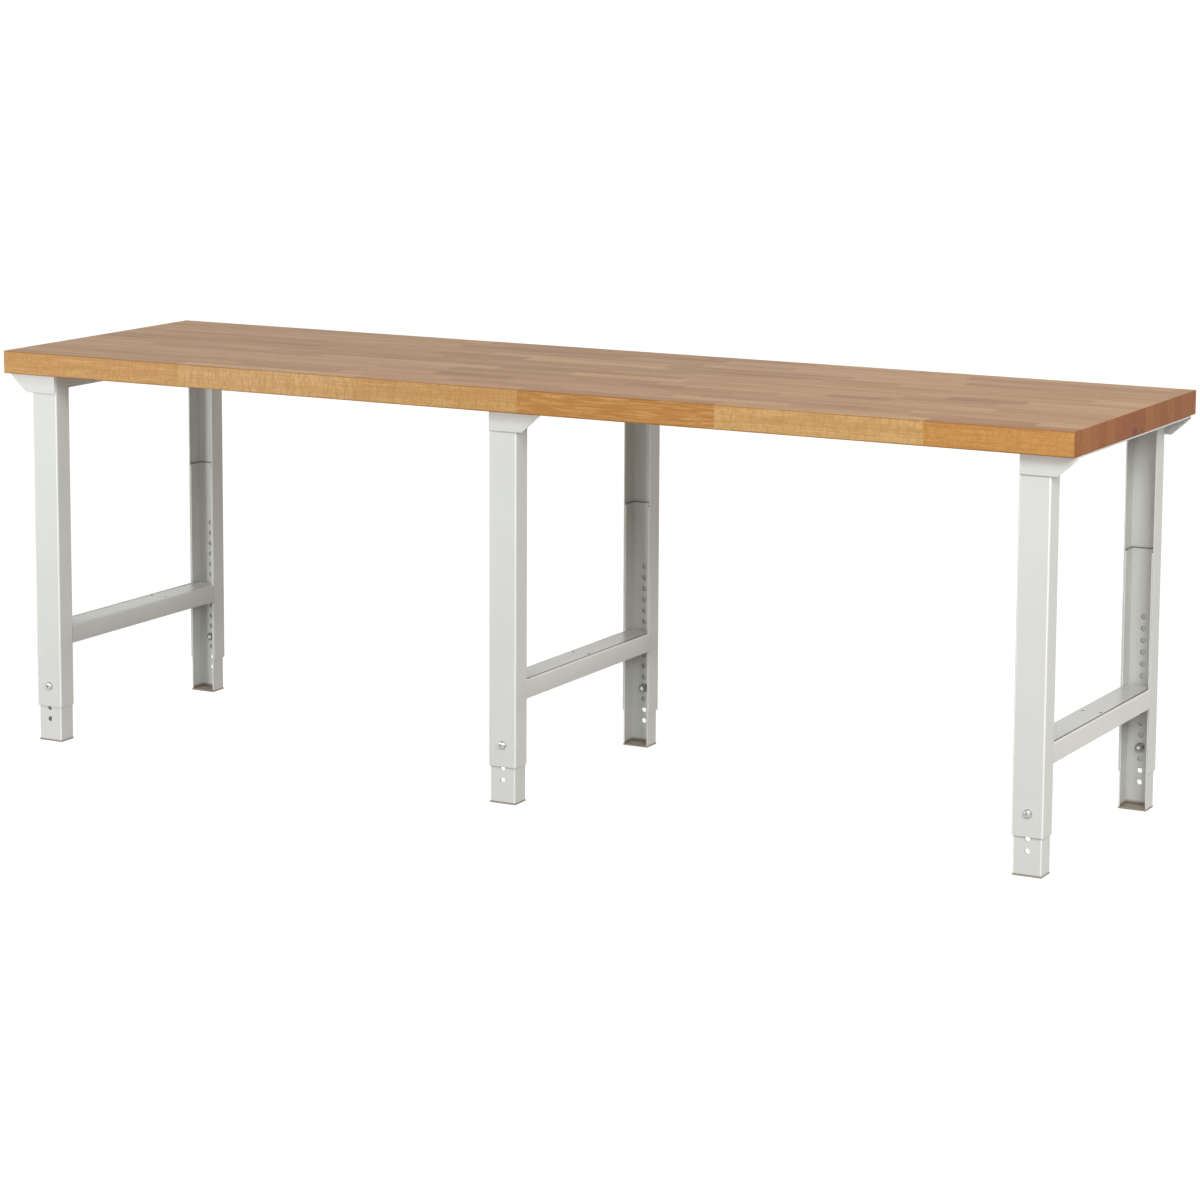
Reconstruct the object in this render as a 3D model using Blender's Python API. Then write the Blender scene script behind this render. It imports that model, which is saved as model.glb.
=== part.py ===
"""Workbench, 2.5 m long, on three welded frames whose six feet telescope in 25 mm steps.

Metres, +Z up. The origin is on the floor under the middle of the worktop, +X runs along the worktop and
-Y is the front. Each frame has two C-channel legs, a crossbar with a tongue in each leg, and a folded top
beam with a slanted ear at each end. Each foot is a perforated channel that slides in its leg on a vertical
axis and is locked by one bolt through the hole in use.
"""

import math

import bmesh
import bpy
from mathutils import Matrix, Vector

# Worktop
TOP_LENGTH = 2.500
TOP_DEPTH = 0.700
TOP_THICKNESS = 0.050
TOP_HEIGHT = 0.875
TOP_EDGE_ROUND = 0.0015

# Clearance between pieces that are welded or bolted face to face
SEAT_GAP = 0.0003

# Legs
FRAME_INSET = 0.055
LEG_WIDTH = 0.066
LEG_DEPTH = 0.045
LEG_SHEET = 0.0025
LEG_BEND_RADIUS = 0.0035

# Feet
SLIDE_CLEARANCE = 0.0005
FOOT_SHEET = 0.0025
FOOT_BEND_RADIUS = 0.003
FIRST_HOLE_HEIGHT = 0.050
HOLE_PITCH = 0.025
HOLE_COUNT = 15
HOLE_IN_USE = 4
HOLE_DIAMETER = 0.011
FOOT_ABOVE_LAST_HOLE = 0.145
BASE_THICKNESS = 0.003
BASE_SIDE_MARGIN = 0.0005
BASE_OUTER_MARGIN = 0.0015
BASE_INNER_MARGIN = 0.003
BASE_CORNER_RADIUS = 0.002

# Folded beam under the worktop
BEAM_SETBACK = 0.025
BEAM_SHEET = 0.003
BEAM_BEND_RADIUS = 0.004
BEAM_END_INSET = 0.0005
END_PLATE_DROP = 0.042
END_PLATE_SETBACK = 0.0025
EAR_REACH = 0.0135
EAR_TIP_DROP = 0.0055
SIDE_WALL_DROP = 0.032
BEND_RELIEF = 0.0015

# Crossbar and its side strip
CROSSBAR_TOP = 0.258
CROSSBAR_HEIGHT = 0.040
CROSSBAR_SHEET = 0.0025
CROSSBAR_BEND_RADIUS = 0.004
STRIP_THICKNESS = 0.003
TONGUE_LENGTH = 0.028
TONGUE_CLEARANCE = 0.001
TONGUE_RELIEF = 0.004
SHELF_HOLE_DIAMETER = 0.0075
SHELF_HOLE_SPACING = 0.038
END_SHELF_HOLE_INSET = 0.016

# Locking bolts and nuts, M10
BOLT_DIAMETER = 0.010
BOLT_HEAD_DIAMETER = 0.0175
BOLT_HEAD_HEIGHT = 0.0055
BOLT_HEAD_FLAT_DIAMETER = 0.0076
BOLT_TIP_CHAMFER = 0.001
BOLT_END_BEYOND_NUT = 0.003
SOCKET_WIDTH = 0.006
SOCKET_DEPTH = 0.003
NUT_WIDTH = 0.016
NUT_HEIGHT = 0.008
NUT_FACE_DIAMETER = 0.0155
NUT_CHAMFER_ANGLE = math.radians(30)

# Worktop screws
SCREW_DIAMETER = 0.006
SCREW_HEAD_DIAMETER = 0.012
SCREW_HEAD_HEIGHT = 0.0035
SCREW_HEAD_FACE_DIAMETER = 0.008
SCREW_HEAD_RIM = 0.0015
SCREW_DEPTH_IN_TOP = 0.035
SCREW_HOLE_DIAMETER = 0.007
SCREW_INSET_ACROSS = 0.025
SCREW_OFFSET_ALONG = 0.220

# Steps along curved forms
BEND_STEPS = 4
FOOT_HOLE_SIDES = 16
SMALL_HOLE_SIDES = 12
BOLT_SIDES = 18
DOME_STEPS = 3
SMALL_ROUND_SIDES = 12
SMOOTH_ANGLE = math.radians(30)
CUTTER_MARGIN = 0.002

# Heights
TOP_UNDERSIDE = TOP_HEIGHT - TOP_THICKNESS
BEAM_TOP = TOP_UNDERSIDE - SEAT_GAP
BEAM_UNDERSIDE = BEAM_TOP - BEAM_SHEET
BOLT_HEIGHT = FIRST_HOLE_HEIGHT + (HOLE_IN_USE - 1) * HOLE_PITCH
LEG_END_BELOW_BOLT = FIRST_HOLE_HEIGHT - BASE_THICKNESS - SLIDE_CLEARANCE
LEG_BOTTOM = BOLT_HEIGHT - LEG_END_BELOW_BOLT
BEAM_INNER_RADIUS = BEAM_BEND_RADIUS - BEAM_SHEET
LEG_TOP = BEAM_UNDERSIDE - BEAM_INNER_RADIUS - SEAT_GAP
FOOT_BOTTOM = BASE_THICKNESS + SEAT_GAP
FOOT_TOP = FIRST_HOLE_HEIGHT + (HOLE_COUNT - 1) * HOLE_PITCH + FOOT_ABOVE_LAST_HOLE

# Places across and along a frame. Depths are measured inwards from a leg's outer face.
FRAME_X = TOP_LENGTH / 2 - FRAME_INSET - LEG_WIDTH / 2
BEAM_END_Y = TOP_DEPTH / 2 - BEAM_SETBACK
LEG_FACE_Y = BEAM_END_Y - BEAM_SHEET - SEAT_GAP
LEG_TIP_Y = LEG_FACE_Y - LEG_DEPTH
FOOT_DEPTH_IN_LEG = LEG_SHEET + SLIDE_CLEARANCE
FOOT_WIDTH = LEG_WIDTH - 2 * LEG_SHEET - 2 * SLIDE_CLEARANCE
FOOT_DEPTH = LEG_DEPTH - FOOT_DEPTH_IN_LEG
BEAM_OUTER_X = LEG_WIDTH / 2 + FRAME_INSET - BEAM_END_INSET
SPAN_END_Y = LEG_TIP_Y - SEAT_GAP
TONGUE_HALF_WIDTH = FOOT_WIDTH / 2 - FOOT_SHEET - TONGUE_CLEARANCE

# Name, side of the middle, turn, and place of the inner shelf holes of each frame. The left one is turned
# so that its ears point outwards.
FRAMES = (("left", -1, math.pi, 0.100), ("middle", 0, 0.0, 0.020), ("right", 1, 0.0, 0.020))
# Name and turn of each side: a leg is modelled at the front and turned about Z to the rear
SIDES = (("front", 0.0), ("rear", math.pi))


def clear_scene():
    for obj in list(bpy.data.objects):
        bpy.data.objects.remove(obj, do_unlink=True)


def material(name, colour, roughness, metallic):
    made = bpy.data.materials.new(name)
    made.use_nodes = True
    shader = made.node_tree.nodes["Principled BSDF"]
    shader.inputs["Base Color"].default_value = (*colour, 1.0)
    shader.inputs["Roughness"].default_value = roughness
    shader.inputs["Metallic"].default_value = metallic
    return made


def rounded(*corners):
    """Outline through corners (a, b) or (a, b, radius), each radius drawn as an arc."""
    points = []
    for index, corner in enumerate(corners):
        here = Vector(corner[:2])
        radius = corner[2] if len(corner) > 2 else 0.0
        if radius <= 0.0:
            points.append(tuple(here))
            continue
        to_last = (Vector(corners[index - 1][:2]) - here).normalized()
        to_next = (Vector(corners[(index + 1) % len(corners)][:2]) - here).normalized()
        half_angle = to_last.angle(to_next) / 2
        centre = here + (to_last + to_next).normalized() * (radius / math.sin(half_angle))
        start = here + to_last * (radius / math.tan(half_angle)) - centre
        sweep = math.pi - 2 * half_angle
        if to_last.x * to_next.y - to_last.y * to_next.x > 0:
            sweep = -sweep
        for step in range(BEND_STEPS + 1):
            angle = sweep * step / BEND_STEPS
            across = start.x * math.cos(angle) - start.y * math.sin(angle)
            along = start.x * math.sin(angle) + start.y * math.cos(angle)
            points.append((centre.x + across, centre.y + along))
    return points


def add_prism(bm, outline, low, high, axis="Z"):
    """Closed prism on an outline in XY, XZ or YZ, from low to high along the remaining axis."""
    to_space = {
        "X": lambda a, b, c: (c, a, b),
        "Y": lambda a, b, c: (a, c, b),
        "Z": lambda a, b, c: (a, b, c),
    }[axis]
    ends = [[bm.verts.new(to_space(a, b, c)) for a, b in outline] for c in (low, high)]
    faces = [bm.faces.new(ends[0]), bm.faces.new(reversed(ends[1]))]
    for index, lower in enumerate(ends[0]):
        following = (index + 1) % len(outline)
        faces.append(bm.faces.new((ends[0][following], lower, ends[1][index], ends[1][following])))
    bmesh.ops.recalc_face_normals(bm, faces=faces)


def add_box(bm, low, high):
    corners = ((low[0], low[1]), (high[0], low[1]), (high[0], high[1]), (low[0], high[1]))
    add_prism(bm, corners, low[2], high[2])


def add_hole(bm, centre, diameter, length, axis="Z", sides=SMALL_HOLE_SIDES):
    """Cylinder for a drilled hole, centred on a point and lying along an axis."""
    turn = Matrix.Rotation(math.pi / 2, 4, "X") if axis == "Y" else Matrix.Identity(4)
    bmesh.ops.create_cone(
        bm,
        cap_ends=True,
        segments=sides,
        radius1=diameter / 2,
        radius2=diameter / 2,
        depth=length,
        matrix=Matrix.Translation(centre) @ turn,
    )


def add_turned(bm, profile, sides):
    """Solid of revolution about Z from (radius, height) pairs, in order along the profile."""
    angles = [2 * math.pi * step / sides for step in range(sides)]
    rings = []
    for radius, height in profile:
        if radius == 0.0:
            rings.append([bm.verts.new((0.0, 0.0, height))])
            continue
        rings.append([bm.verts.new((radius * math.cos(a), radius * math.sin(a), height)) for a in angles])
    faces = [bm.faces.new(ring) for ring in (rings[0], rings[-1]) if len(ring) > 1]
    for lower, upper in zip(rings, rings[1:]):
        for step in range(sides):
            following = (step + 1) % sides
            if len(lower) == 1:
                corners = (lower[0], upper[following], upper[step])
            elif len(upper) == 1:
                corners = (lower[step], lower[following], upper[0])
            else:
                corners = (lower[step], lower[following], upper[following], upper[step])
            faces.append(bm.faces.new(corners))
    bmesh.ops.recalc_face_normals(bm, faces=faces)


def as_mesh(bm, name):
    mesh = bpy.data.meshes.new(name)
    bm.to_mesh(mesh)
    bm.free()
    return mesh


def combined(mesh, tool, operation="DIFFERENCE"):
    """The mesh after an exact Boolean with the tool mesh. Both meshes given are used up."""
    scene = bpy.context.scene.collection
    worked = bpy.data.objects.new("worked", mesh)
    cutter = bpy.data.objects.new("cutter", tool)
    scene.objects.link(worked)
    scene.objects.link(cutter)
    step = worked.modifiers.new("step", "BOOLEAN")
    step.solver = "EXACT"
    step.operation = operation
    step.object = cutter
    graph = bpy.context.evaluated_depsgraph_get()
    result = bpy.data.meshes.new_from_object(worked.evaluated_get(graph))
    result.name = mesh.name
    for obj, used in ((worked, mesh), (cutter, tool)):
        bpy.data.objects.remove(obj, do_unlink=True)
        bpy.data.meshes.remove(used)
    return result


def finished(mesh, surface):
    mesh.materials.clear()
    mesh.materials.append(surface)
    mesh.shade_smooth()
    mesh.set_sharp_from_angle(angle=SMOOTH_ANGLE)
    return mesh


def place(name, mesh, location, turn=0.0, parent=None):
    obj = bpy.data.objects.new(name, mesh)
    obj.location = location
    obj.rotation_euler = (0.0, 0.0, turn)
    obj.parent = parent
    bpy.context.scene.collection.objects.link(obj)
    return obj


def place_empty(name, location, parent=None):
    return place(name, None, location, parent=parent)


def channel_outline(width, depth, sheet, bend_radius, face=0.0):
    """Section of a C-channel whose web lies at y = face and whose open side looks towards +Y."""
    half = width / 2
    inner_radius = bend_radius - sheet
    return rounded(
        (-half, face + depth),
        (-half, face, bend_radius),
        (half, face, bend_radius),
        (half, face + depth),
        (half - sheet, face + depth),
        (half - sheet, face + sheet, inner_radius),
        (sheet - half, face + sheet, inner_radius),
        (sheet - half, face + depth),
    )


def screw_places():
    """Where the worktop screws stand in a frame, clear of its legs and side wall."""
    inner = -LEG_WIDTH / 2 + SCREW_INSET_ACROSS
    outer = BEAM_OUTER_X - SCREW_INSET_ACROSS
    return [(x, y) for x in (inner, outer) for y in (-SCREW_OFFSET_ALONG, SCREW_OFFSET_ALONG)]


def worktop_mesh():
    bm = bmesh.new()
    half = (TOP_LENGTH / 2, TOP_DEPTH / 2)
    add_box(bm, (-half[0], -half[1], TOP_UNDERSIDE), (half[0], half[1], TOP_HEIGHT))
    bmesh.ops.bevel(bm, geom=bm.edges[:], offset=TOP_EDGE_ROUND, segments=2, profile=0.5, affect="EDGES")
    board = as_mesh(bm, "worktop")
    holes = bmesh.new()
    depth = SCREW_DEPTH_IN_TOP + 2 * SEAT_GAP
    for _, side, turn, _ in FRAMES:
        direction = math.cos(turn)
        for x, y in screw_places():
            centre = (side * FRAME_X + direction * x, direction * y, TOP_UNDERSIDE)
            add_hole(holes, centre, SCREW_DIAMETER + 2 * SEAT_GAP, 2 * depth)
    return combined(board, as_mesh(holes, "pilot_holes"))


def leg_mesh():
    """A leg's channel, with its origin under the middle of its outer face."""
    bm = bmesh.new()
    section = channel_outline(LEG_WIDTH, LEG_DEPTH, LEG_SHEET, LEG_BEND_RADIUS)
    add_prism(bm, section, LEG_BOTTOM, LEG_TOP)
    hole = bmesh.new()
    add_hole(hole, (0.0, 0.0, BOLT_HEIGHT), HOLE_DIAMETER, 4 * LEG_SHEET, "Y")
    return combined(as_mesh(bm, "leg"), as_mesh(hole, "bolt_hole"))


def foot_mesh():
    """The perforated channel that slides in a leg, with its origin where the leg's is."""
    bm = bmesh.new()
    section = channel_outline(FOOT_WIDTH, FOOT_DEPTH, FOOT_SHEET, FOOT_BEND_RADIUS, FOOT_DEPTH_IN_LEG)
    add_prism(bm, section, FOOT_BOTTOM, FOOT_TOP)
    holes = bmesh.new()
    for index in range(HOLE_COUNT):
        centre = (0.0, FOOT_DEPTH_IN_LEG, FIRST_HOLE_HEIGHT + index * HOLE_PITCH)
        add_hole(holes, centre, HOLE_DIAMETER, 4 * FOOT_SHEET, "Y", FOOT_HOLE_SIDES)
    return combined(as_mesh(bm, "foot"), as_mesh(holes, "row_of_holes"))


def base_plate_mesh():
    """The plate welded under a foot. It stands out past the foot, most of all on the open side."""
    half = FOOT_WIDTH / 2 + BASE_SIDE_MARGIN
    outer = FOOT_DEPTH_IN_LEG - BASE_OUTER_MARGIN
    inner = LEG_DEPTH + BASE_INNER_MARGIN
    outline = rounded(
        (-half, outer, BASE_CORNER_RADIUS),
        (half, outer, BASE_CORNER_RADIUS),
        (half, inner, BASE_CORNER_RADIUS),
        (-half, inner, BASE_CORNER_RADIUS),
    )
    bm = bmesh.new()
    add_prism(bm, outline, 0.0, BASE_THICKNESS)
    return as_mesh(bm, "base_plate")


def ear_cutter(bm):
    """Takes away what lies below the slanted edge of both end plates, out to the beam's outer edge."""
    start = (LEG_WIDTH / 2 + EAR_REACH, BEAM_TOP - END_PLATE_DROP)
    tip = (BEAM_OUTER_X, BEAM_TOP - EAR_TIP_DROP)
    slope = (tip[1] - start[1]) / (tip[0] - start[0])
    low = start[1] - CUTTER_MARGIN
    far = tip[0] + CUTTER_MARGIN
    outline = (
        (start[0] - CUTTER_MARGIN / slope, low),
        (far, low),
        (far, tip[1] + CUTTER_MARGIN * slope),
    )
    reach = BEAM_END_Y + CUTTER_MARGIN
    add_prism(bm, outline, -reach, reach, "Y")


def beam_mesh():
    """The folded sheet under the worktop: top plate, two end plates with ears, and one side wall."""
    half = BEAM_END_Y
    low = BEAM_TOP - END_PLATE_DROP
    inboard = -LEG_WIDTH / 2
    bm = bmesh.new()
    section = rounded(
        (-half, low),
        (-half, BEAM_TOP, BEAM_BEND_RADIUS),
        (half, BEAM_TOP, BEAM_BEND_RADIUS),
        (half, low),
        (half - BEAM_SHEET, low),
        (half - BEAM_SHEET, BEAM_UNDERSIDE, BEAM_INNER_RADIUS),
        (BEAM_SHEET - half, BEAM_UNDERSIDE, BEAM_INNER_RADIUS),
        (BEAM_SHEET - half, low),
    )
    add_prism(bm, section, inboard, BEAM_OUTER_X, "X")

    cutters = bmesh.new()
    ear_cutter(cutters)
    beyond = (inboard - CUTTER_MARGIN, low - CUTTER_MARGIN, BEAM_TOP + CUTTER_MARGIN)
    plate_start = inboard + END_PLATE_SETBACK
    for end in (-1, 1):
        edges = sorted((end * (half - BEAM_BEND_RADIUS), end * (half + CUTTER_MARGIN)))
        add_box(cutters, (beyond[0], edges[0], beyond[1]), (plate_start, edges[1], beyond[2]))
    wall_end = SPAN_END_Y + BEND_RELIEF
    wall_start = inboard + BEAM_BEND_RADIUS
    add_box(cutters, (beyond[0], -wall_end, beyond[1]), (wall_start, wall_end, beyond[2]))
    for x, y in screw_places():
        add_hole(cutters, (x, y, BEAM_TOP), SCREW_HOLE_DIAMETER, 4 * BEAM_SHEET)
    cut = combined(as_mesh(bm, "top_beam"), as_mesh(cutters, "beam_cutters"))

    wall = bmesh.new()
    overlap = wall_start + 2 * BEAM_SHEET
    wall_low = BEAM_TOP - SIDE_WALL_DROP
    side = rounded(
        (inboard, wall_low),
        (inboard, BEAM_TOP, BEAM_BEND_RADIUS),
        (overlap, BEAM_TOP),
        (overlap, BEAM_UNDERSIDE),
        (inboard + BEAM_SHEET, BEAM_UNDERSIDE, BEAM_INNER_RADIUS),
        (inboard + BEAM_SHEET, wall_low),
    )
    add_prism(wall, side, -SPAN_END_Y, SPAN_END_Y, "Y")
    return combined(cut, as_mesh(wall, "side_wall"), "UNION")


def shelf_hole_places(inner_row):
    """Centres of a crossbar's three pairs of holes: one near each leg and one between them."""
    rows = (END_SHELF_HOLE_INSET - LEG_TIP_Y, inner_row, LEG_TIP_Y - END_SHELF_HOLE_INSET)
    return [(x * SHELF_HOLE_SPACING / 2, y) for x in (-1, 1) for y in rows]


def crossbar_mesh(inner_row):
    """Inverted channel from leg to leg, whose top runs on as a tongue between each foot's flanges."""
    left = -LEG_WIDTH / 2
    right = LEG_WIDTH / 2 - STRIP_THICKNESS - SEAT_GAP
    low = CROSSBAR_TOP - CROSSBAR_HEIGHT
    inner_radius = CROSSBAR_BEND_RADIUS - CROSSBAR_SHEET
    tongue_end = LEG_TIP_Y + TONGUE_LENGTH
    section = rounded(
        (left, low),
        (left, CROSSBAR_TOP, CROSSBAR_BEND_RADIUS),
        (right, CROSSBAR_TOP, CROSSBAR_BEND_RADIUS),
        (right, low),
        (right - CROSSBAR_SHEET, low),
        (right - CROSSBAR_SHEET, CROSSBAR_TOP - CROSSBAR_SHEET, inner_radius),
        (left + CROSSBAR_SHEET, CROSSBAR_TOP - CROSSBAR_SHEET, inner_radius),
        (left + CROSSBAR_SHEET, low),
    )
    bm = bmesh.new()
    add_prism(bm, section, -tongue_end, tongue_end, "Y")

    cutters = bmesh.new()
    beyond_x = LEG_WIDTH / 2 + CUTTER_MARGIN
    beyond_y = tongue_end + CUTTER_MARGIN
    for x_side in (-1, 1):
        for y_side in (-1, 1):
            outline = [
                (x_side * TONGUE_HALF_WIDTH, y_side * (SPAN_END_Y - TONGUE_RELIEF)),
                (x_side * beyond_x, y_side * SPAN_END_Y),
                (x_side * beyond_x, y_side * beyond_y),
                (x_side * TONGUE_HALF_WIDTH, y_side * beyond_y),
            ]
            add_prism(cutters, outline, low - CUTTER_MARGIN, CROSSBAR_TOP + CUTTER_MARGIN)
    for x, y in shelf_hole_places(inner_row):
        add_hole(cutters, (x, y, CROSSBAR_TOP), SHELF_HOLE_DIAMETER, 4 * CROSSBAR_SHEET)
    return combined(as_mesh(bm, "crossbar"), as_mesh(cutters, "crossbar_cutters"))


def strip_mesh():
    """Flat strip beside the crossbar, flush with the legs' flanges and with the crossbar's top."""
    bm = bmesh.new()
    outer = LEG_WIDTH / 2
    low = (outer - STRIP_THICKNESS, -SPAN_END_Y, CROSSBAR_TOP - CROSSBAR_HEIGHT)
    add_box(bm, low, (outer, SPAN_END_Y, CROSSBAR_TOP))
    return as_mesh(bm, "crossbar_strip")


def bolt_head_profile():
    """(radius, height) pairs up a domed head, from its rim to the flat round its socket."""
    flat = BOLT_HEAD_FLAT_DIAMETER / 2
    crown = BOLT_HEAD_DIAMETER / 2 - flat
    angles = [math.pi / 2 * step / DOME_STEPS for step in range(DOME_STEPS + 1)]
    return [(flat + crown * math.cos(angle), BOLT_HEAD_HEIGHT * math.sin(angle)) for angle in angles]


def hexagon(width):
    """Outline of a hexagon measured across its flats."""
    reach = width / 2 / math.cos(math.pi / 6)
    return [(reach * math.cos(k * math.pi / 3), reach * math.sin(k * math.pi / 3)) for k in range(6)]


def bolt_mesh():
    """Round-head bolt along Z, its head up and the head's seat at the origin."""
    grip = FOOT_DEPTH_IN_LEG + FOOT_SHEET + 2 * SEAT_GAP
    length = grip + NUT_HEIGHT + BOLT_END_BEYOND_NUT
    radius = BOLT_DIAMETER / 2
    profile = [
        (0.0, -length),
        (radius - BOLT_TIP_CHAMFER, -length),
        (radius, BOLT_TIP_CHAMFER - length),
        (radius, 0.0),
        *bolt_head_profile(),
        (0.0, BOLT_HEAD_HEIGHT),
    ]
    bm = bmesh.new()
    add_turned(bm, profile, BOLT_SIDES)
    socket = bmesh.new()
    floor = BOLT_HEAD_HEIGHT - SOCKET_DEPTH
    add_prism(socket, hexagon(SOCKET_WIDTH), floor, BOLT_HEAD_HEIGHT + CUTTER_MARGIN)
    return combined(as_mesh(bm, "bolt"), as_mesh(socket, "socket"))


def nut_mesh():
    """Hexagon nut along Z, its seat at the origin and its body below, with chamfered corners and bore."""
    bm = bmesh.new()
    add_prism(bm, hexagon(NUT_WIDTH), -NUT_HEIGHT, 0.0)
    corner = NUT_WIDTH / 2 / math.cos(math.pi / 6)
    beyond = corner + CUTTER_MARGIN
    flat = NUT_FACE_DIAMETER / 2
    drop = (beyond - flat) * math.tan(NUT_CHAMFER_ANGLE)
    turned = bmesh.new()
    profile = [(flat, -NUT_HEIGHT), (beyond, drop - NUT_HEIGHT), (beyond, -drop), (flat, 0.0)]
    add_turned(turned, profile, SMALL_ROUND_SIDES)
    body = combined(as_mesh(bm, "nut"), as_mesh(turned, "chamfer"), "INTERSECT")
    bore = bmesh.new()
    add_hole(bore, (0.0, 0.0, -NUT_HEIGHT / 2), BOLT_DIAMETER + 2 * SEAT_GAP, 2 * NUT_HEIGHT)
    return combined(body, as_mesh(bore, "bore"))


def screw_mesh():
    """Pan-head wood screw along Z, its head down and the head's seat at the origin."""
    length = BEAM_SHEET + 2 * SEAT_GAP + SCREW_DEPTH_IN_TOP
    radius = SCREW_DIAMETER / 2
    head = SCREW_HEAD_DIAMETER / 2
    bm = bmesh.new()
    profile = [
        (0.0, -SCREW_HEAD_HEIGHT),
        (SCREW_HEAD_FACE_DIAMETER / 2, -SCREW_HEAD_HEIGHT),
        (head, -SCREW_HEAD_RIM),
        (head, 0.0),
        (radius, 0.0),
        (radius, length - SCREW_DIAMETER),
        (0.0, length),
    ]
    add_turned(bm, profile, SMALL_ROUND_SIDES)
    return as_mesh(bm, "screw")


def laid(mesh):
    """The mesh turned so that its +Z looks towards -Y, out of a front leg."""
    mesh.transform(Matrix.Rotation(math.pi / 2, 4, "X"))
    return mesh


def build_foot(name, meshes, parent):
    """A foot and its base plate on an empty that stands on the slide's axis."""
    axis = place_empty(f"{name}_slide_axis", (0.0, FOOT_DEPTH_IN_LEG, 0.0), parent)
    back_to_leg = (0.0, -FOOT_DEPTH_IN_LEG, 0.0)
    place(f"{name}_foot", meshes["foot"], back_to_leg, parent=axis)
    place(f"{name}_base_plate", meshes["base_plate"], back_to_leg, parent=axis)


def build_corner(name, side_turn, frame, meshes):
    """Leg, foot, bolt and nut of one corner, under an empty below the leg's outer face."""
    corner = place(f"{name}_corner", None, (0.0, -math.cos(side_turn) * LEG_FACE_Y, 0.0), side_turn, frame)
    place(f"{name}_leg", meshes["leg"], (0.0, 0.0, 0.0), parent=corner)
    build_foot(name, meshes, corner)
    place(f"{name}_bolt", meshes["bolt"], (0.0, -SEAT_GAP, BOLT_HEIGHT), parent=corner)
    nut_depth = FOOT_DEPTH_IN_LEG + FOOT_SHEET + SEAT_GAP
    place(f"{name}_nut", meshes["nut"], (0.0, nut_depth, BOLT_HEIGHT), parent=corner)


def build_frame(name, side, frame_turn, crossbar, meshes):
    frame = place_empty(f"{name}_frame", (side * FRAME_X, 0.0, 0.0))
    for piece, mesh in (
        ("top_beam", meshes["top_beam"]),
        ("crossbar", crossbar),
        ("crossbar_strip", meshes["crossbar_strip"]),
    ):
        place(f"{name}_{piece}", mesh, (0.0, 0.0, 0.0), frame_turn, frame)
    for side_name, side_turn in SIDES:
        build_corner(f"{name}_{side_name}", side_turn, frame, meshes)
    for number, (x, y) in enumerate(screw_places(), start=1):
        direction = math.cos(frame_turn)
        seat = (direction * x, direction * y, BEAM_UNDERSIDE - SEAT_GAP)
        place(f"{name}_screw_{number}", meshes["screw"], seat, parent=frame)


def build():
    clear_scene()
    beech = material("beech", (0.56, 0.33, 0.17), 0.45, 0.0)
    leg_paint = material("leg_paint", (0.66, 0.66, 0.62), 0.4, 0.0)
    foot_paint = material("foot_paint", (0.64, 0.64, 0.60), 0.4, 0.0)
    beam_paint = material("beam_paint", (0.67, 0.67, 0.63), 0.4, 0.0)
    crossbar_paint = material("crossbar_paint", (0.62, 0.62, 0.58), 0.38, 0.0)
    strip_paint = material("strip_paint", (0.65, 0.65, 0.61), 0.4, 0.0)
    plate_paint = material("plate_paint", (0.52, 0.50, 0.47), 0.45, 0.0)
    bolt_zinc = material("bolt_zinc", (0.72, 0.73, 0.74), 0.25, 1.0)
    nut_zinc = material("nut_zinc", (0.68, 0.69, 0.70), 0.3, 1.0)
    screw_zinc = material("screw_zinc", (0.75, 0.70, 0.52), 0.35, 1.0)
    meshes = {
        "leg": finished(leg_mesh(), leg_paint),
        "foot": finished(foot_mesh(), foot_paint),
        "base_plate": finished(base_plate_mesh(), plate_paint),
        "top_beam": finished(beam_mesh(), beam_paint),
        "crossbar_strip": finished(strip_mesh(), strip_paint),
        "bolt": finished(laid(bolt_mesh()), bolt_zinc),
        "nut": finished(laid(nut_mesh()), nut_zinc),
        "screw": finished(screw_mesh(), screw_zinc),
    }
    place("worktop", finished(worktop_mesh(), beech), (0.0, 0.0, 0.0))
    for name, side, frame_turn, inner_row in FRAMES:
        crossbar = finished(crossbar_mesh(math.cos(frame_turn) * inner_row), crossbar_paint)
        build_frame(name, side, frame_turn, crossbar, meshes)


build()
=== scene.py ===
import math

import bmesh
import bpy
from mathutils import Matrix, Vector


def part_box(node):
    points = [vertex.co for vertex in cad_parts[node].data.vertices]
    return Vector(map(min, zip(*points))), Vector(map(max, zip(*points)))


# Camera, in metres and degrees. Yaw turns it from +Y towards -X, and pitch is how far it looks down.
CAMERA_PLACE = (3.5506, -6.5261, 1.8100)
CAMERA_YAW = 28.180
CAMERA_PITCH = 7.993
CAMERA_ROLL = 0.296
FOCAL_LENGTH = 105.76
SENSOR_WIDTH = 36.0
SHIFT_Y = -0.15

# Lamps: name, place, point it looks at, width, height, watts, colour
LAMPS = (
    ("front_lamp", (0.0, -3.5, 4.1), (0.0, 0.0, 0.5), 5.0, 1.4, 68.0, (0.85, 0.945, 1.0)),
    ("far_lamp", (0.0, -14.0, 1.8), (0.0, 0.0, 0.5), 3.0, 1.0, 220.0, (0.93, 0.97, 1.0)),
    ("right_lamp", (3.2, -2.3, 2.6), (1.16, 0.2, 0.5), 1.5, 1.5, 74.0, (0.97, 0.99, 1.0)),
    ("left_lamp", (-2.6, -3.0, 0.95), (-1.16, 0.0, 0.5), 0.8, 1.7, 34.0, (0.93, 0.97, 1.0)),
    ("side_lamp", (25.0, 0.0, 0.6), (0.0, 0.0, 0.5), 3.0, 1.0, 800.0, (0.97, 0.99, 1.0)),
)
WORLD_LEVEL = 0.41
WORLD_COLOUR = (1.0, 0.965, 0.85)
WHITE = (1.0, 1.0, 1.0)

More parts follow.
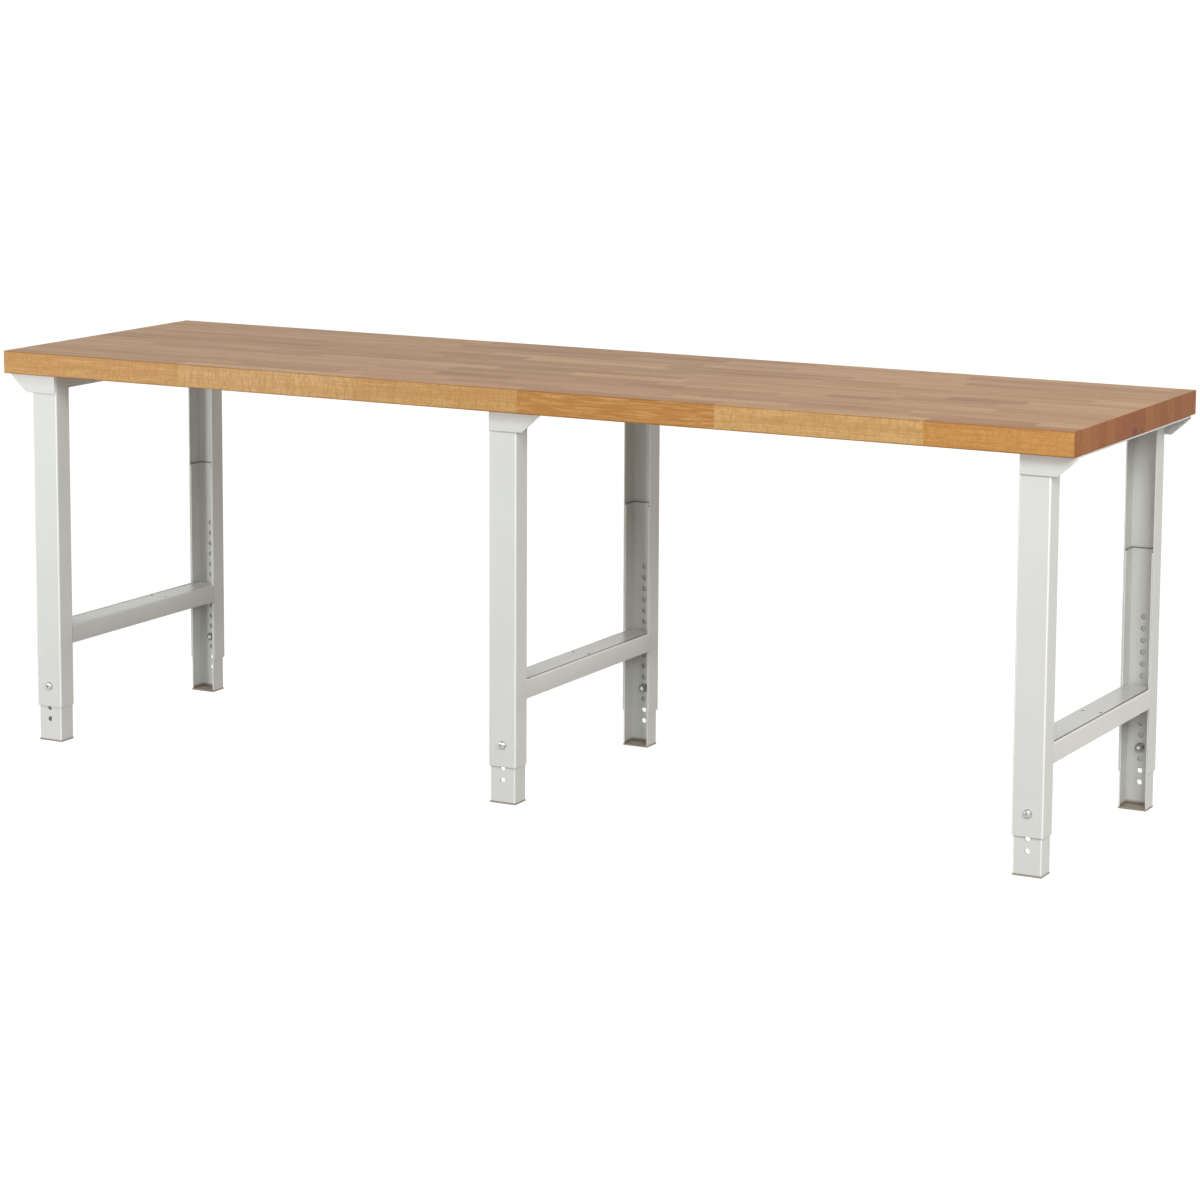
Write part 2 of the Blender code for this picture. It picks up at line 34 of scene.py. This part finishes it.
# Floor, below the feet's full reach so that it never hides them
FLOOR_RADIUS = 60.0
FLOOR_SIDES = 96
FLOOR_DROP = 0.2255
FLOOR_COLOUR = (0.315, 0.295, 0.26)
FLOOR_GLOW = 0.93

# Glued beech: rows of staves, counted from the worktop's front edge, in metres
STAVE_WIDTH = 0.04375
STAVE_LENGTHS = (0.26, 0.62)
STAVE_SEED = 3.0
# Each row begins this far to the left of the bench's middle, and up to a metre further
ROW_START = 2.0
# Noise that would give a stave the tone 0, which is dark, and the tone 1, which is light
TONE_NOISE = (-0.25, 1.25)
# Boards of the front row: where they meet, and each one's tone and shares of rays and of lines
FRONT_JOINTS = (-0.783, -0.342, 0.050, 0.497, 0.943)
FRONT_TONES = (0.45, 0.85, 0.55, 0.25, 0.70, 0.05)
FRONT_RAYS = (0.45, 0.90, 0.60, 0.10, 0.50, 0.20)
FRONT_LINES = (0.20, 0.10, 0.25, 1.00, 0.15, 0.20)
# Staves of the top that stand out: row, start, end, tone
MARKED_STAVES = (
    (2, 0.417, 0.783, 0.20),
    (3, -0.233, -0.050, 0.00),
    (4, 0.200, 0.325, 0.05),
    (5, 0.633, 0.775, 0.15),
    (6, 0.025, 0.283, 1.00),
    (6, 0.775, 0.983, 0.20),
    (7, -0.467, 0.017, 0.15),
    (7, 0.858, 1.025, 0.00),
    (9, -0.983, -0.700, 0.15),
    (10, -0.417, -0.183, 0.05),
    (10, 0.167, 0.483, 0.15),
)
# Tones of the rows in the worktop's ends
END_TONES = (0.60, 1.00, 0.70, 0.35, 0.85, 0.35, 0.20, 0.10, 0.15, 0.90, 0.60, 0.25, 0.75, 0.30, 0.60, 0.60)
EDGE_DARK = (0.63, 0.32, 0.100)
EDGE_LIGHT = (0.735, 0.485, 0.235)
# The top's tones, darker than the edges', as painted shade on the top
SHADED_TOP_DARK = (0.42, 0.213, 0.083)
SHADED_TOP_LIGHT = (0.68, 0.440, 0.230)
END_DARK = (0.302, 0.0776, 0.0043)
END_LIGHT = (0.397, 0.138, 0.0224)
GRAIN_TINT = (0.72, 0.585, 0.43)
FLECK = (0.22, 0.085, 0.03)
RIM = (0.30, 0.105, 0.025)
KNOT = (0.10, 0.025, 0.012)

# Kinds of grain: scale along X, Y and Z, detail, and the noise at which it begins and at which it is full
FIGURE = ((2.4, 52.0, 52.0), 3.0, (0.43, 0.60))
LINES = ((13.0, 240.0, 240.0), 2.0, (0.46, 0.55))
STREAKS = ((9.0, 420.0, 420.0), 3.0, (0.45, 0.60))
RAYS = ((330.0, 330.0, 45.0), 2.0, (0.45, 0.70))
MOTTLE = ((150.0, 150.0, 150.0), 3.0, (0.45, 0.65))
FLECKS = ((260.0, 1300.0, 1300.0), 1.0, (0.60, 0.72))
END_RINGS = ((0.0, 150.0, 60.0), 2.0, (0.38, 0.66))
END_PORES = ((0.0, 900.0, 900.0), 2.0, (0.45, 0.70))
# How strongly they show, from 0 to 1. Boards of the front row have their own shares of rays and lines.
EDGE_FIGURE_SHARE = 0.35
TOP_FIGURE_SHARE = 0.95
LINE_SHARE = 0.35
LEAST_STREAK_SHARE = 0.40
RAY_SHARE = 0.30
MOTTLE_SHARE = 0.45
FLECK_SHARE = 0.45
RING_SHARE = 0.75
PORE_SHARE = 0.55

# Dark rims along the worktop's edges, from the middle of its height or in from its rear, in metres. The one
# in from the rear, along the top's far edge, is painted shade.
RIM_START = 0.0220
RIM_FULL = 0.0240
RIM_SHARE = 0.75
REAR_RIM_START = 0.006
REAR_RIM_FULL = 0.002
REAR_RIM_SHARE = 0.6
# Knots in both ends: y, z, half width and half height, and the shares of these over which they fade
KNOTS = ((-0.016, 0.8345, 0.013, 0.0075), (0.026, 0.831, 0.006, 0.0045))
KNOT_FADE = (1.25, 0.6)
KNOT_SHARE = 0.85
END_SEAM = 0.2185
END_SEAM_REACH = 0.0012

# Oiled surface of the beech. A bump is a strength and a depth in metres.
STREAK_NOISE = (0.3, 0.8)
BEECH_ROUGHNESS = (0.38, 0.50)
BEECH_SPECULAR = 0.15
STREAK_RELIEF = 0.6
FLECK_RELIEF = 0.4
BEECH_BUMP = (0.10, 0.0004)
BOARD_EDGE_ROUND = 0.0015

# Powder coat, and what is painted on it: painted highlights on bends, sheet tips, the strip's edge and the
# end plates, painted shade in hole walls, the crossbar's groove and the feet's top ends, and a darker brown
# towards the bottom inside the feet
PAINT = (0.735, 0.735, 0.715)
# The crossbar's coat is a darker copy of the legs' coat, as painted shade, and the strip's is a lighter
# copy, as painted light
SHADED_CROSSBAR_PAINT = (0.65, 0.65, 0.63)
LIGHTENED_STRIP_PAINT = (0.765, 0.765, 0.735)
PLATE = (0.36, 0.30, 0.245)
# Painted highlight on the faces of the sheets' tips
TIP_HIGHLIGHT = (0.90, 0.90, 0.88)
GROOVE_SHADE = (0.16, 0.135, 0.11)
# Painted highlight on the bends, along the strip's top edge and over the end plates' upper part
PAINTED_HIGHLIGHT = (0.97, 0.97, 0.95)
# Painted shade on hole walls and along the feet's top ends
PAINTED_SHADE = (0.24, 0.22, 0.19)
# Darker brown towards the bottom inside the feet
BOTTOM_BROWN = (0.25, 0.18, 0.13)
COAT_ROUGHNESS = 0.36
CROSSBAR_ROUGHNESS = 0.26
PLATE_ROUGHNESS = 0.42
# Clouds in its colour and fine bumps of its surface: scale and detail, and what they do
CLOUDS = (7.0, 3.0)
CLOUD_NOISE = (0.3, 0.7)
CLOUD_TINT = 0.965
PEEL = (520.0, 2.0)
PEEL_ROUGHNESS = 0.04
PEEL_BUMP = (0.06, 0.0003)
SHEET_EDGE_ROUND = 0.0012

# Zinc of the fasteners, and its worn patches: scale and detail, and what they do
BOLT_ZINC = (0.56, 0.56, 0.55)
# The nuts' zinc is darkened far below zinc's own colour: painted shade, for the dark surroundings the nuts
# mirror
DARKENED_NUT_ZINC = (0.20, 0.195, 0.19)
SCREW_ZINC = (0.74, 0.68, 0.48)
BOLT_ROUGHNESS = 0.24
NUT_ROUGHNESS = 0.25
SCREW_ROUGHNESS = 0.34
WEAR = (900.0, 3.0)
WEAR_NOISE = (0.35, 0.65)
WEAR_TINT = 0.65
WEAR_ROUGHNESS = (-0.06, 0.08)
WEAR_BUMP = (0.05, 0.0002)
FASTENER_EDGE_ROUND = 0.0004

# Places of the marks on the steel frames, most of them painted highlights and painted shade, in metres, some
# as a middle and a reach
FRAME_MIDDLES = (-1.162, 0.0, 1.162)
FRAME_SPLITS = (-0.581, 0.581)
SHEET_TIP_REACH = 0.2771
LEG_HOLE_REACH = 0.0065
FOOT_INNER_X = 0.0276
FOOT_INNER_Y = 0.3163
# Height above which the feet's top end is painted with shade, and heights over which the feet turn darker
# brown towards the bottom inside
FOOT_RIM_Z = 0.5425
BOTTOM_BROWN_FADE = (0.012, 0.004)
# The end plates' upper part, where light is painted over the worktop's shadow: where the plates begin,
# heights over which it fades in, and its share
END_PLATE_Y = 0.3235
END_PLATE_FADE = (0.790, 0.812)
END_PLATE_SHARE = 0.75
# The crossbar's top, and the groove along its strip where shade is painted: middle and reach
CROSSBAR_UPPER = (0.258, 0.0035)
CROSSBAR_GROOVE = (0.0275, 0.0025)
SHELF_HOLE_REACH = (0.024, 0.262)
# Height above which a highlight is painted along the strip's top edge
STRIP_EDGE_Z = 0.2556

# Least part of a unit normal along an axis at which a face counts as lying across that axis
FACING = 0.7
# How far the normal of a marked face may lean, and its parts along X and Y at a bend, where a highlight is
# painted
LEAN = 0.3
BEND_X = (0.45, 0.30)
BEND_Y = (0.85, 0.25)


class Graph:
    """Short calls that add and link the nodes of one shader tree. Colours are red, green and blue."""

    def __init__(self, tree):
        self.tree = tree
        tree.nodes.clear()

    def node(self, kind, inputs, **settings):
        made = self.tree.nodes.new("ShaderNode" + kind)
        for name, value in settings.items():
            setattr(made, name, value)
        for key, value in inputs.items():
            socket = made.inputs[key]
            if isinstance(value, bpy.types.NodeSocket):
                self.tree.links.new(value, socket)
            elif socket.type == "RGBA":
                socket.default_value = (*value, 1.0)
            else:
                socket.default_value = value
        return made

    def math(self, operation, first, second=0.0, third=0.0):
        return self.node("Math", {0: first, 1: second, 2: third}, operation=operation).outputs[0]

    def combine(self, x, y, z):
        return self.node("CombineXYZ", {0: x, 1: y, 2: z}).outputs[0]

    def mix(self, factor, first, second, blend="MIX"):
        made = self.node("Mix", {0: factor, 6: first, 7: second}, data_type="RGBA", blend_type=blend)
        return made.outputs[2]

    def cover(self, colour, over, shown, share):
        """The colour, with another over it where that is shown, as strongly as its share says."""
        return self.mix(self.math("MULTIPLY", shown, share), colour, over)

    def mix_value(self, factor, first, second):
        return self.node("Mix", {0: factor, 2: first, 3: second}, data_type="FLOAT").outputs[0]

    def noise(self, vector, scale, detail):
        return self.node("TexNoise", {"Vector": vector, "Scale": scale, "Detail": detail}).outputs[0]

    def stretched(self, vector, x, y, z):
        """The vector scaled by its own factor along each axis."""
        return self.node("VectorMath", {0: vector, 1: (x, y, z)}, operation="MULTIPLY").outputs[0]

    def ramp(self, factor, low, high):
        """Factor mapped so that low gives 0 and high gives 1."""
        return self.node("MapRange", {0: factor, 1: low, 2: high}).outputs[0]

    def near(self, value, centre, reach):
        """1 where the value is within reach of the centre, and 0 elsewhere."""
        return self.math("COMPARE", value, centre, reach)

    def all_of(self, first, *others):
        for other in others:
            first = self.math("MULTIPLY", first, other)
        return first

    def bump(self, height, strength, distance, edge_radius):
        """Bump over edges that are rounded in the shading."""
        rounded = self.node("Bevel", {"Radius": edge_radius}).outputs[0]
        inputs = {"Height": height, "Strength": strength, "Distance": distance, "Normal": rounded}
        return self.node("Bump", inputs).outputs[0]

    def surface(self, **inputs):
        named = {key.replace("_", " ").title().replace("Ior", "IOR"): value for key, value in inputs.items()}
        shader = self.node("BsdfPrincipled", named)
        self.node("OutputMaterial", {"Surface": shader.outputs[0]})


def new_graph(name):
    made = bpy.data.materials.new(name)
    made.use_nodes = True
    return made, Graph(made.node_tree)


def light_ray_kinds(graph):
    """1 for rays that show a surface to the camera, directly, mirrored or through glass."""
    path = graph.node("LightPath", {})
    seen = graph.math("ADD", path.outputs["Is Camera Ray"], path.outputs["Is Glossy Ray"])
    return graph.math("MINIMUM", graph.math("ADD", seen, path.outputs["Is Transmission Ray"]), 1.0)


def set_world():
    world = bpy.data.worlds.new("studio")
    bpy.context.scene.world = world
    world.use_nodes = True
    graph = Graph(world.node_tree)
    seen = light_ray_kinds(graph)
    level = graph.mix_value(seen, WORLD_LEVEL, 1.0)
    colour = graph.mix(seen, WORLD_COLOUR, WHITE)
    sky = graph.node("Background", {"Color": colour, "Strength": level})
    graph.node("OutputWorld", {"Surface": sky.outputs[0]})


def add_floor():
    bm = bmesh.new()
    bmesh.ops.create_circle(bm, cap_ends=True, segments=FLOOR_SIDES, radius=FLOOR_RADIUS)
    mesh = bpy.data.meshes.new("floor")
    bm.to_mesh(mesh)
    bm.free()
    floor = bpy.data.objects.new("floor", mesh)
    floor.location.z = -FLOOR_DROP
    bpy.context.scene.collection.objects.link(floor)
    material, graph = new_graph("floor")
    matt = graph.node("BsdfDiffuse", {"Color": FLOOR_COLOUR})
    glow_level = graph.math("MULTIPLY", light_ray_kinds(graph), FLOOR_GLOW)
    glow = graph.node("Emission", {"Color": WHITE, "Strength": glow_level})
    both = graph.node("AddShader", {0: matt.outputs[0], 1: glow.outputs[0]})
    graph.node("OutputMaterial", {"Surface": both.outputs[0]})
    mesh.materials.append(material)


def add_lamp(name, place, target, width, height, watts, colour):
    data = bpy.data.lights.new(name, "AREA")
    data.shape = "RECTANGLE"
    data.size = width
    data.size_y = height
    data.energy = watts
    data.color = colour
    lamp = bpy.data.objects.new(name, data)
    lamp.location = place
    lamp.rotation_euler = (Vector(target) - Vector(place)).to_track_quat("-Z", "Y").to_euler()
    bpy.context.scene.collection.objects.link(lamp)


def add_camera():
    yaw, pitch, roll = (math.radians(angle) for angle in (CAMERA_YAW, CAMERA_PITCH, CAMERA_ROLL))
    data = bpy.data.cameras.new("camera")
    data.sensor_fit = "HORIZONTAL"
    data.sensor_width = SENSOR_WIDTH
    data.lens = FOCAL_LENGTH
    data.shift_y = SHIFT_Y
    camera = bpy.data.objects.new("camera", data)
    turn = Matrix.Rotation(yaw, 4, "Z") @ Matrix.Rotation(math.pi / 2 - pitch, 4, "X")
    camera.matrix_world = Matrix.Translation(CAMERA_PLACE) @ turn @ Matrix.Rotation(roll, 4, "Z")
    bpy.context.scene.collection.objects.link(camera)
    bpy.context.scene.camera = camera


def stepped(graph, place, steps, values):
    """The first value up to the first step, the second up to the next step, and so on."""
    value = values[0]
    for step, beyond in zip(steps, values[1:]):
        value = graph.mix_value(graph.math("GREATER_THAN", place, step), value, beyond)
    return value


def row_stave(graph, x, row):
    """Tone of the stave at a point, from 0 for dark to 1 for light, and a random number of its own."""
    seed = graph.math("ADD", row, STAVE_SEED)
    row_random = graph.node("TexWhiteNoise", {"W": seed}, noise_dimensions="1D").outputs["Color"]
    length_random, start_random, _ = graph.node("SeparateColor", {0: row_random}).outputs
    shortest, longest = STAVE_LENGTHS
    length = graph.node("MapRange", {0: length_random, 3: shortest, 4: longest}).outputs[0]
    along = graph.math("ADD", x, graph.math("ADD", start_random, ROW_START))
    place_in_row = graph.math("FLOOR", graph.math("DIVIDE", along, length))
    stave = graph.combine(row, place_in_row, STAVE_SEED)
    number = graph.node("TexWhiteNoise", {"Vector": stave}, noise_dimensions="3D").outputs["Value"]
    tone = graph.ramp(number, *TONE_NOISE)
    for marked_row, start, end, marked_tone in MARKED_STAVES:
        in_row = graph.near(row, marked_row, 0.5)
        centre = (start + end) / 2
        inside = graph.near(x, centre, end - centre)
        tone = graph.mix_value(graph.math("MULTIPLY", in_row, inside), tone, marked_tone)
    return tone, number


def grain(graph, place, kind):
    """Noise of one kind of grain, and how far that grain shows, from 0 to 1."""
    scale, detail, (begins, full) = kind
    noise = graph.noise(graph.stretched(place, *scale), 1.0, detail)
    return noise, graph.ramp(noise, begins, full)


def side_colour(graph, tone, is_flat, shown_grain):
    """Colour along the grain, where each (shown, share) pair darkens it."""
    edge = graph.mix(tone, EDGE_DARK, EDGE_LIGHT)
    # The top takes darker tones than the edges: painted shade
    top = graph.mix(tone, SHADED_TOP_DARK, SHADED_TOP_LIGHT)
    side = graph.mix(is_flat, edge, top)
    deeper = graph.mix(1.0, side, GRAIN_TINT, "MULTIPLY")
    for shown, share in shown_grain:
        side = graph.cover(side, deeper, shown, share)
    return side


def add_rims(graph, side, y, z, is_flat):
    """Dark rims along the front and rear faces' long edges, and painted shade along the top's rear edge."""
    low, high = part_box("worktop")
    from_mid_height = graph.math("ABSOLUTE", graph.math("SUBTRACT", z, (low.z + high.z) / 2))
    upright = graph.ramp(is_flat, 1.0, 0.0)
    rim = graph.math("MULTIPLY", graph.ramp(from_mid_height, RIM_START, RIM_FULL), upright)
    side = graph.cover(side, RIM, rim, RIM_SHARE)
    # Painted shade along the top's rear edge
    near_rear = graph.ramp(y, high.y - REAR_RIM_START, high.y - REAR_RIM_FULL)
    return graph.cover(side, RIM, graph.math("MULTIPLY", near_rear, is_flat), REAR_RIM_SHARE)


def knots(graph, y, z):
    """1 inside the knots, and 0 outside them."""
    total = 0.0
    for knot_y, knot_z, half_width, half_height in KNOTS:
        across = graph.math("DIVIDE", graph.math("SUBTRACT", y, knot_y), half_width)
        up = graph.math("DIVIDE", graph.math("SUBTRACT", z, knot_z), half_height)
        from_middle = graph.combine(across, up, 0.0)
        far = graph.node("VectorMath", {0: from_middle}, operation="LENGTH").outputs["Value"]
        total = graph.math("MAXIMUM", graph.ramp(far, *KNOT_FADE), total)
    return total


def end_colour(graph, shifted, row, y, z):
    """Colour across the grain, with rings, pores, one seam and the knots."""
    row_ends = [index + 0.5 for index in range(len(END_TONES) - 1)]
    end = graph.mix(stepped(graph, row, row_ends, END_TONES), END_DARK, END_LIGHT)
    deeper = graph.mix(1.0, end, GRAIN_TINT, "MULTIPLY")
    for kind, share in ((END_RINGS, RING_SHARE), (END_PORES, PORE_SHARE)):
        shown = grain(graph, shifted, kind)[1]
        end = graph.cover(end, deeper, shown, share)
    end = graph.mix(graph.near(y, END_SEAM, END_SEAM_REACH), end, deeper)
    return graph.cover(end, KNOT, knots(graph, y, z), KNOT_SHARE)


def beech():
    material, graph = new_graph("glued_beech")
    coords = graph.node("TexCoord", {})
    place = coords.outputs["Object"]
    x, y, z = graph.node("SeparateXYZ", {0: place}).outputs
    normal = graph.node("SeparateXYZ", {0: coords.outputs["Normal"]}).outputs
    is_end = graph.math("GREATER_THAN", graph.math("ABSOLUTE", normal[0]), FACING)
    is_flat = graph.math("GREATER_THAN", graph.math("ABSOLUTE", normal[2]), FACING)

    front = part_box("worktop")[0].y
    row = graph.math("FLOOR", graph.math("DIVIDE", graph.math("SUBTRACT", y, front), STAVE_WIDTH))
    is_front = graph.math("LESS_THAN", row, 0.5)
    tone, number = row_stave(graph, x, row)
    tone = graph.mix_value(is_front, tone, stepped(graph, x, FRONT_JOINTS, FRONT_TONES))
    front_numbers = range(1, len(FRONT_TONES) + 1)
    number = graph.mix_value(is_front, number, stepped(graph, x, FRONT_JOINTS, front_numbers))
    shift = graph.combine(number, number, number)
    shifted = graph.node("VectorMath", {0: place, 1: shift}, operation="ADD").outputs[0]

    streaks, shown_streaks = grain(graph, shifted, STREAKS)
    flecks, shown_flecks = grain(graph, shifted, FLECKS)
    line_share = graph.mix_value(is_front, LINE_SHARE, stepped(graph, x, FRONT_JOINTS, FRONT_LINES))
    ray_share = graph.mix_value(is_front, RAY_SHARE, stepped(graph, x, FRONT_JOINTS, FRONT_RAYS))
    figure_share = graph.mix_value(is_flat, EDGE_FIGURE_SHARE, TOP_FIGURE_SHARE)
    shown_grain = [
        (grain(graph, shifted, FIGURE)[1], figure_share),
        (grain(graph, shifted, LINES)[1], line_share),
        (shown_streaks, graph.mix_value(line_share, LEAST_STREAK_SHARE, 1.0)),
        (grain(graph, shifted, RAYS)[1], ray_share),
        (grain(graph, shifted, MOTTLE)[1], MOTTLE_SHARE),
    ]
    side = side_colour(graph, tone, is_flat, shown_grain)
    side = graph.cover(side, FLECK, shown_flecks, FLECK_SHARE)
    side = add_rims(graph, side, y, z, is_flat)
    colour = graph.mix(is_end, side, end_colour(graph, shifted, row, y, z))

    roughness = graph.mix_value(graph.ramp(streaks, *STREAK_NOISE), *BEECH_ROUGHNESS)
    streak_height = graph.math("MULTIPLY", streaks, STREAK_RELIEF)
    height = graph.math("ADD", streak_height, graph.math("MULTIPLY", flecks, FLECK_RELIEF))
    bump = graph.bump(height, *BEECH_BUMP, BOARD_EDGE_ROUND)
    graph.surface(base_color=colour, roughness=roughness, specular_ior_level=BEECH_SPECULAR, normal=bump)
    return material


def leg_marks(graph, x, y, z, normal):
    # Painted highlights on the bends and on the sheet tips' faces, and painted shade on the walls of the
    # web's hole
    normal_x, normal_y = (graph.math("ABSOLUTE", normal[axis]) for axis in (0, 1))
    bend = graph.all_of(graph.near(normal_x, *BEND_X), graph.near(normal_y, *BEND_Y))
    tip = graph.all_of(graph.near(y, 0.0, SHEET_TIP_REACH), graph.near(normal_y, 1.0, LEAN))
    hole = graph.all_of(graph.near(x, 0.0, LEG_HOLE_REACH), graph.near(normal[1], 0.0, LEAN))
    return [(bend, PAINTED_HIGHLIGHT), (tip, TIP_HIGHLIGHT), (hole, PAINTED_SHADE)]


def foot_marks(graph, x, y, z, normal):
    # Darker brown towards the bottom inside the foot, and painted shade along its top end
    inside = graph.all_of(graph.near(x, 0.0, FOOT_INNER_X), graph.near(y, 0.0, FOOT_INNER_Y))
    browner_bottom = graph.all_of(inside, graph.ramp(z, *BOTTOM_BROWN_FADE))
    rim = graph.math("GREATER_THAN", z, FOOT_RIM_Z)
    return leg_marks(graph, x, y, z, normal) + [(browner_bottom, BOTTOM_BROWN), (rim, PAINTED_SHADE)]


def crossbar_marks(graph, x, y, z, normal):
    # Painted shade on the walls of the shelf holes and in the groove along the strip
    upper = graph.near(z, *CROSSBAR_UPPER)
    reach_x, reach_y = SHELF_HOLE_REACH
    wall = graph.near(normal[2], 0.0, LEAN)
    hole = graph.all_of(upper, graph.near(x, 0.0, reach_x), graph.near(y, 0.0, reach_y), wall)
    groove = graph.all_of(upper, graph.near(x, *CROSSBAR_GROOVE))
    return [(hole, PAINTED_SHADE), (groove, GROOVE_SHADE)]


def strip_marks(graph, x, y, z, normal):
    # Painted highlight along the strip's top edge
    return [(graph.math("GREATER_THAN", z, STRIP_EDGE_Z), PAINTED_HIGHLIGHT)]


def beam_marks(graph, x, y, z, normal):
    # Painted light over the end plates' upper part, where the worktop casts its shadow
    plate = graph.math("GREATER_THAN", graph.math("ABSOLUTE", y), END_PLATE_Y)
    upper = graph.all_of(plate, graph.ramp(z, *END_PLATE_FADE))
    return [(graph.math("MULTIPLY", upper, END_PLATE_SHARE), PAINTED_HIGHLIGHT)]


def no_marks(graph, x, y, z, normal):
    return []


def powder_coat(name, colour, roughness, marks=no_marks):
    """Coat with marks, most of them painted highlights and painted shade, which are placed by y, z, and x
    from the frame's middle towards its strip.
    """
    material, graph = new_graph(name)
    coords = graph.node("TexCoord", {})
    place = coords.outputs["Object"]
    x, y, z = graph.node("SeparateXYZ", {0: place}).outputs
    middle = stepped(graph, x, FRAME_SPLITS, FRAME_MIDDLES)
    strip_side = stepped(graph, x, FRAME_SPLITS[:1], (-1.0, 1.0))
    from_middle = graph.math("MULTIPLY", graph.math("SUBTRACT", x, middle), strip_side)
    normal = graph.node("SeparateXYZ", {0: coords.outputs["Normal"]}).outputs

    clouds = graph.noise(place, *CLOUDS)
    tint = tuple(value * CLOUD_TINT for value in colour)
    coat = graph.mix(graph.ramp(clouds, *CLOUD_NOISE), tint, colour)
    for shown, mark_colour in marks(graph, from_middle, y, z, normal):
        coat = graph.mix(shown, coat, mark_colour)
    peel = graph.noise(place, *PEEL)
    rough = graph.mix_value(peel, roughness - PEEL_ROUGHNESS, roughness + PEEL_ROUGHNESS)
    bump = graph.bump(peel, *PEEL_BUMP, SHEET_EDGE_ROUND)
    graph.surface(base_color=coat, roughness=rough, normal=bump)
    return material


def zinc(name, colour, roughness):
    material, graph = new_graph(name)
    place = graph.node("TexCoord", {}).outputs["Object"]
    wear = graph.noise(place, *WEAR)
    shade = tuple(value * WEAR_TINT for value in colour)
    patched = graph.mix(graph.ramp(wear, *WEAR_NOISE), shade, colour)
    smoother, rougher = WEAR_ROUGHNESS
    rough = graph.mix_value(wear, roughness + smoother, roughness + rougher)
    bump = graph.bump(wear, *WEAR_BUMP, FASTENER_EDGE_ROUND)
    graph.surface(base_color=patched, roughness=rough, metallic=1.0, normal=bump)
    return material


def set_material(node, material):
    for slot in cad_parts[node].material_slots:
        slot.material = material


def finish_pieces():
    finishes = {
        "worktop": beech(),
        "leg": powder_coat("leg_coat", PAINT, COAT_ROUGHNESS, leg_marks),
        "foot": powder_coat("foot_coat", PAINT, COAT_ROUGHNESS, foot_marks),
        "top_beam": powder_coat("beam_coat", PAINT, COAT_ROUGHNESS, beam_marks),
        "crossbar": powder_coat("crossbar_coat", SHADED_CROSSBAR_PAINT, CROSSBAR_ROUGHNESS, crossbar_marks),
        "crossbar_strip": powder_coat("strip_coat", LIGHTENED_STRIP_PAINT, COAT_ROUGHNESS, strip_marks),
        "base_plate": powder_coat("plate_coat", PLATE, PLATE_ROUGHNESS),
        "bolt": zinc("bolt_zinc", BOLT_ZINC, BOLT_ROUGHNESS),
        "nut": zinc("nut_zinc", DARKENED_NUT_ZINC, NUT_ROUGHNESS),
        "screw": zinc("screw_zinc", SCREW_ZINC, SCREW_ROUGHNESS),
    }
    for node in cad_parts:
        kinds = [kind for kind in finishes if node.rstrip("_0123456789").endswith(kind)]
        set_material(node, finishes[max(kinds, key=len)])


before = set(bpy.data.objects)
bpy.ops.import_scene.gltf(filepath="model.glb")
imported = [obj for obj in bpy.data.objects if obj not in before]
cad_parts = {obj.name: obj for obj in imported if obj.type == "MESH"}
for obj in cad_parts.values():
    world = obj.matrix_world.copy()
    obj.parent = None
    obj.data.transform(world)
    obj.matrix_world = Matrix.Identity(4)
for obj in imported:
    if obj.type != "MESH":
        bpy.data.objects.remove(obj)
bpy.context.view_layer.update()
bpy.context.scene.view_settings.view_transform = "Standard"
add_camera()
set_world()
add_floor()
for lamp in LAMPS:
    add_lamp(*lamp)
finish_pieces()
